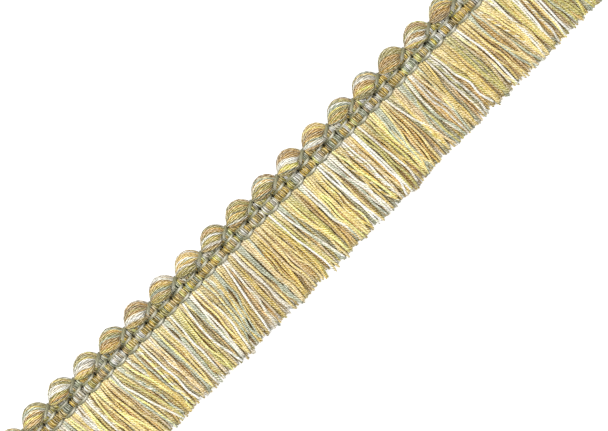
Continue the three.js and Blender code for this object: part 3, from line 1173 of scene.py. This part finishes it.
def thread_tints(name, links, dye):
    """Colour of each thread of a stitch line at each station, with painted highlights on its links.
    """
    line = STITCH_LINES[name]
    rng = draws(name + " tints")
    shades = line["paleness"] * np.repeat([thread["shade"] for thread in THREADS], links)
    shades = shades * rng.uniform(*THREAD_SHADES, len(shades))
    painted_highlight = np.repeat([thread["painted_highlight"] for thread in THREADS], links)
    painted_highlight = painted_highlight * rng.uniform(*THREAD_HIGHLIGHT_SHARES, len(painted_highlight))
    place = np.linspace(0, 1, THREAD_STATIONS) ** line["skew"]
    crest = np.sin(math.pi * place) ** THREAD_CREST_POWER
    share = (crest * THREAD_PAINTED_HIGHLIGHT * painted_highlight[:, None])[..., None]
    dull = np.array(tuple(dye)) * (THREAD_DEPTH * shades)[:, None, None]
    tint = np.clip(dull * (1 - share) + np.array(THREAD_HIGHLIGHT) * share, 0, 1)
    return np.repeat(tint[:, :, None], len(PLY_TINTS), axis=2)


def skirt_paths(name, sizes):
    """Routes of one layer of the skirt from the lower stitch line to its cut tips."""
    layer = SKIRT_LAYERS[name]
    rng = draws("skirt " + name)
    stations = layer["stations"]
    count = COURSES * SKIRT_YARNS
    course, j = np.divmod(np.arange(count), SKIRT_YARNS)
    place = (j - (SKIRT_YARNS - 1) / 2) * layer["root_span"] + layer["root_shift"]
    root = course_middle(course) + place / SKIRT_YARNS * COURSE
    root = np.minimum(root, HEADING_HIGH.x - ROOT_MARGIN)
    lean = np.interp(root, [row["along"] for row in LEANS], [row["lean"] for row in LEANS])
    stray = rng.random(count) < STRAY_CHANCE
    own_lean = rng.normal(size=count) * np.where(stray, STRAY_LEAN, PLAIN_LEAN)
    lean = lean * layer["lean_share"] + layer["disorder"] * own_lean
    tip = np.clip(root + lean, HEADING_LOW.x, HEADING_HIGH.x)
    most_tufts = math.ceil(TRIM_LENGTH / TUFT_WIDTHS[0])
    tufts = HEADING_LOW.x + np.cumsum(rng.uniform(*TUFT_WIDTHS, most_tufts))
    aside = tip - tufts[np.abs(tip[:, None] - tufts).argmin(axis=1)]
    cut = TUFT_POINT * np.abs(aside) + wander(rng, 1, count, bends=COURSES)[0] * TIP_WAVE
    cut = cut + rng.normal(size=count) * TIP_CHANGE
    cut = cut + (rng.random(count) < NOTCH_CHANCE) * rng.uniform(*NOTCH_DEPTHS, count)
    end = SKIRT_TIP + CUT_INSET + cut * sizes.tip_raggedness / MM
    end = np.maximum(end, SKIRT_TIP - LONGEST_TIP)
    t = np.linspace(0, 1, stations)
    marks = np.linspace(HEADING_LOW.x, HEADING_HIGH.x, BOW_MARKS)
    bow = np.interp(root, marks, rng.normal(size=BOW_MARKS)) * SHARED_BOW
    bow = bow + rng.normal(size=count) * OWN_BOW
    sway = wander(rng, count, stations, bends=5) * SKIRT_SWAY * np.sqrt(t)
    sway = bow[:, None] * np.sin(math.pi * t) + sway
    leaning = EVEN_LEAN * t + (1 - EVEN_LEAN) * eased(t)
    x = root[:, None] + (tip - root)[:, None] * leaning
    x = x + layer["disorder"] * (sway - TUFT_PULL * aside[:, None] * t**3)
    y = SKIRT_ROOT + (end - SKIRT_ROOT)[:, None] * t
    at_root, lying, at_tip = layer["heights"]
    swell = eased(np.clip(t / ROOT_SWELL, 0, 1))
    z = at_root + (lying - at_root) * swell + (at_tip - lying) * t**2
    z = z + rng.uniform(0, layer["lift"], count)[:, None] * swell
    z = z + wander(rng, count, stations, bends=5) * SKIRT_WAVER * swell
    least = sizes.yarn_width / MM / 2 * layer["width"]
    return np.stack([x, y, np.maximum(z, least)], axis=-1)


def skirt_tints(name, dyes, colours):
    """Dyes of one layer's yarns with the layer's painted shade, and painted light at their roots
    and at their open tips.
    """
    layer = SKIRT_LAYERS[name]
    shade = np.array(layer["shade"])
    tints = ply_tints(name, "loose", dyes, colours, layer["stations"], shade)
    along = np.linspace(0, 1, layer["stations"])[:, None, None]
    # painted light at the roots, and at the open tips below
    pale = ROOT_PAINTED_LIGHT * np.maximum(1 - along / ROOT_REACH, 0)
    tints += pale * (np.array(ROOT_LIGHT_TINT) * shade - tints)
    open_tip = np.maximum(1 - (1 - along) / TIP_REACH, 0)
    return tints * (1 + (TIP_SHADE / shade - 1) * open_tip)


def lay_table(colour):
    """The pale surface under the trim."""
    mesh = bpy.data.meshes.new("table_top")
    sides = [(-1, -1), (1, -1), (1, 1), (-1, 1)]
    corners = [(x * TABLE_REACH, y * TABLE_REACH, 0) for x, y in sides]
    mesh.from_pydata(corners, [], [(0, 1, 2, 3)])
    table = placed(mesh, pale_table("pale table", colour))


def light_room(scene):
    """Two broad lamps over the table, in a white room."""
    for row in LAMPS:
        light = bpy.data.lights.new(row["name"], "AREA")
        light.energy = row["power"]
        light.size = row["size"] * MM
        lamp = bpy.data.objects.new(row["name"], light)
        scene.collection.objects.link(lamp)
        lamp.location = np.array(row["place"]) * MM
        towards = Vector(np.array(LOOKED_AT) * MM) - lamp.location
        lamp.rotation_euler = towards.to_track_quat("-Z", "Y").to_euler()
    world = bpy.data.worlds.new("white room")
    world.use_nodes = True
    background = world.node_tree.nodes["Background"]
    background.inputs["Color"].default_value = (1, 1, 1, 1)
    background.inputs["Strength"].default_value = ROOM_LIGHT
    scene.world = world


def aim_camera(scene):
    """A camera that looks straight down on the trim."""
    lens = bpy.data.cameras.new("camera")
    lens.lens = LENS
    lens.sensor_width = SENSOR
    camera = bpy.data.objects.new("camera", lens)
    scene.collection.objects.link(camera)
    away = PHOTO_WIDTH * LENS / SENSOR
    camera.location = np.array(LOOKED_AT) * MM
    camera.location.z += away * MM
    camera.rotation_euler = (0, 0, ROLL)
    scene.camera = camera


class FRINGE_OT_wind_loops(bpy.types.Operator):
    """Wind the row of loops, each from one bundle of yarn"""

    bl_idname = "fringe.wind_loops"
    bl_label = "Wind Loops"

    def execute(self, context):
        sizes, colours = context.scene.trim_sizes, context.scene.trim_colours
        finish = satin_yarn("wound")
        inside = packed_core("packed yarn in the loops", colours.loop_core)
        # the pale dyes that are liked on top of the loops paint a highlight there
        half_way = 2 * math.pi * np.arange(LOOP_YARNS) / LOOP_YARNS + LOOP_TWIST / 2
        dyes = dyes_by_course("loops", "wound", len(LOOP_NODES), LOOP_YARNS, np.sin(half_way))
        lay = sizes.yarn_lay / MM * LOOP_LAY
        for n, node in enumerate(LOOP_NODES):
            paths, widths, lightness = loop_paths(n, sizes.yarn_width / MM / 2)
            tints = ply_tints(node, "wound", dyes[n], colours, LOOP_STATIONS)
            # painted shade on the loop's sides and ends
            tints *= lightness[..., None, None]
            loop = yarn_object(f"wound_{node}", paths, widths, lay, tints, finish)
            finish_piece(loop, "loop_yarn", node)
            finish_piece(loop_core(n, inside), "loop_yarn")
        return {"FINISHED"}


class FRINGE_OT_knot_heading(bpy.types.Operator):
    """Lay the heading's yarns over both rows of knots, with its packed middle and its back"""

    bl_idname = "fringe.knot_heading"
    bl_label = "Knot Heading"

    def execute(self, context):
        sizes, colours = context.scene.trim_sizes, context.scene.trim_colours
        finish = satin_yarn("knotted")
        lay = sizes.yarn_lay / MM * KNOT_LAY
        half_width = sizes.yarn_width / MM / 2 * KNOT_YARN
        # painted shade at the top of each knot, and the painted light of its row
        lit = np.minimum(np.linspace(0, 1, KNOT_STATIONS) / KNOT_SHADE_REACH, 1)
        for row, looks in KNOT_ROWS.items():
            name = row + " knots"
            paths = heading_paths(row)
            widths = np.full(paths.shape[:2], half_width)
            dyes = dyes_by_course(name, "knotted", COURSES, YARNS_IN_KNOT).ravel()
            tints = ply_tints(name, "knotted", dyes, colours, KNOT_STATIONS, looks["shade"])
            tints *= (lit + looks["top_shade"] * (1 - lit))[:, None, None]
            knots = yarn_object(f"{row}_knots", paths, widths, lay, tints, finish)
            finish_piece(knots, "heading_yarn", "heading")
        paths = back_paths()
        widths = np.full(paths.shape[:2], BACK_YARNS["half_width"])
        rng = draws("back dyes")
        dyes = rng.choice(len(YARN_MIX), len(paths), p=mix_shares("knotted"))
        tints = ply_tints("back of heading", "loose", dyes, colours, BACK_YARNS["stations"])
        lay = BACK_YARNS["lay"]
        name = "heading_back_yarns"
        back = yarn_object(name, paths, widths, lay, tints, finish, ROUND_CORNERS)
        finish_piece(back, "heading_yarn")
        # dark packed yarn: painted shade in the gaps between the knots
        inside = packed_core("packed yarn in the heading", colours.core)
        finish_piece(heading_core(inside), "heading_yarn")
        return {"FINISHED"}


class FRINGE_OT_bind_heading(bpy.types.Operator):
    """Stitch the fine thread along the three lines of the heading and over the loops' necks"""

    bl_idname = "fringe.bind_heading"
    bl_label = "Bind Heading"

    def execute(self, context):
        sizes, colours = context.scene.trim_sizes, context.scene.trim_colours
        finish = binding_thread("grey-green binding thread")
        knots = course_middle(np.arange(COURSES))
        necks = loop_middle(np.arange(len(LOOP_NODES)))
        for name, line in STITCH_LINES.items():
            middles = necks if line["link"] is NECK_LINK else knots
            paths = np.concatenate([thread_paths(name, thread, middles) for thread in THREADS])
            half_width = sizes.thread_width / MM / 2 * line["spread"]
            widths = np.full(paths.shape[:2], half_width)
            tints = thread_tints(name, len(middles), colours.thread)
            thread = yarn_object(name, paths, widths, THREAD_LAY, tints, finish, ROUND_CORNERS)
            finish_piece(thread, "binding_thread")
        return {"FINISHED"}


class FRINGE_OT_cut_skirt(bpy.types.Operator):
    """Hang the skirt of cut yarns below the heading, in three layers"""

    bl_idname = "fringe.cut_skirt"
    bl_label = "Cut Skirt"

    def execute(self, context):
        sizes, colours = context.scene.trim_sizes, context.scene.trim_colours
        finish = satin_yarn("loose")
        lay = sizes.yarn_lay / MM
        for name, layer in SKIRT_LAYERS.items():
            paths = skirt_paths(name, sizes)
            dyes = dyes_by_course("skirt " + name, "loose", COURSES, SKIRT_YARNS).ravel()
            tints = skirt_tints(name, dyes, colours)
            widths = np.full(paths.shape[:2], sizes.yarn_width / MM / 2 * layer["width"])
            widths[:, -1] *= TIP_TAPER
            widths[:, -2] *= (1 + TIP_TAPER) / 2
            for part, rows in enumerate(np.array_split(np.arange(len(paths)), layer["parts"])):
                piece = yarn_object(
                    f"skirt_{name}_{part + 1}",
                    paths[rows],
                    widths[rows],
                    lay,
                    tints[rows],
                    finish,
                    layer["corners"],
                )
                finish_piece(piece, "fringe_yarn", *layer["replaces"])
        return {"FINISHED"}


class FRINGE_OT_set_stage(bpy.types.Operator):
    """Lay the table, place the lamps and aim the camera straight down"""

    bl_idname = "fringe.set_stage"
    bl_label = "Set Stage"

    def execute(self, context):
        lay_table(context.scene.trim_colours.table)
        light_room(context.scene)
        aim_camera(context.scene)
        context.scene.view_settings.view_transform = "Standard"
        return {"FINISHED"}


OPERATORS = (
    FRINGE_OT_set_stage,
    FRINGE_OT_wind_loops,
    FRINGE_OT_knot_heading,
    FRINGE_OT_bind_heading,
    FRINGE_OT_cut_skirt,
)


class FRINGE_PT_trim(bpy.types.Panel):
    """Sizes, colours and steps of the trim"""

    bl_idname = "FRINGE_PT_trim"
    bl_label = "Fringe Trim"
    bl_space_type = "VIEW_3D"
    bl_region_type = "UI"
    bl_category = "Fringe Trim"

    def draw(self, context):
        for group in (context.scene.trim_sizes, context.scene.trim_colours):
            box = self.layout.box()
            for name in group.__annotations__:
                box.prop(group, name)
        for operator in OPERATORS:
            self.layout.operator(operator.bl_idname)


CLASSES = (TrimSizes, TrimColours, *OPERATORS, FRINGE_PT_trim)


def register():
    for item in CLASSES:
        bpy.utils.register_class(item)
    bpy.types.Scene.trim_sizes = bpy.props.PointerProperty(type=TrimSizes)
    bpy.types.Scene.trim_colours = bpy.props.PointerProperty(type=TrimColours)


def unregister():
    del bpy.types.Scene.trim_colours
    del bpy.types.Scene.trim_sizes
    for item in reversed(CLASSES):
        bpy.utils.unregister_class(item)


def main():
    """Makes every piece in order."""
    register()
    bpy.ops.fringe.set_stage()
    bpy.ops.fringe.wind_loops()
    bpy.ops.fringe.knot_heading()
    bpy.ops.fringe.bind_heading()
    bpy.ops.fringe.cut_skirt()


if __name__ == "__main__":
    main()
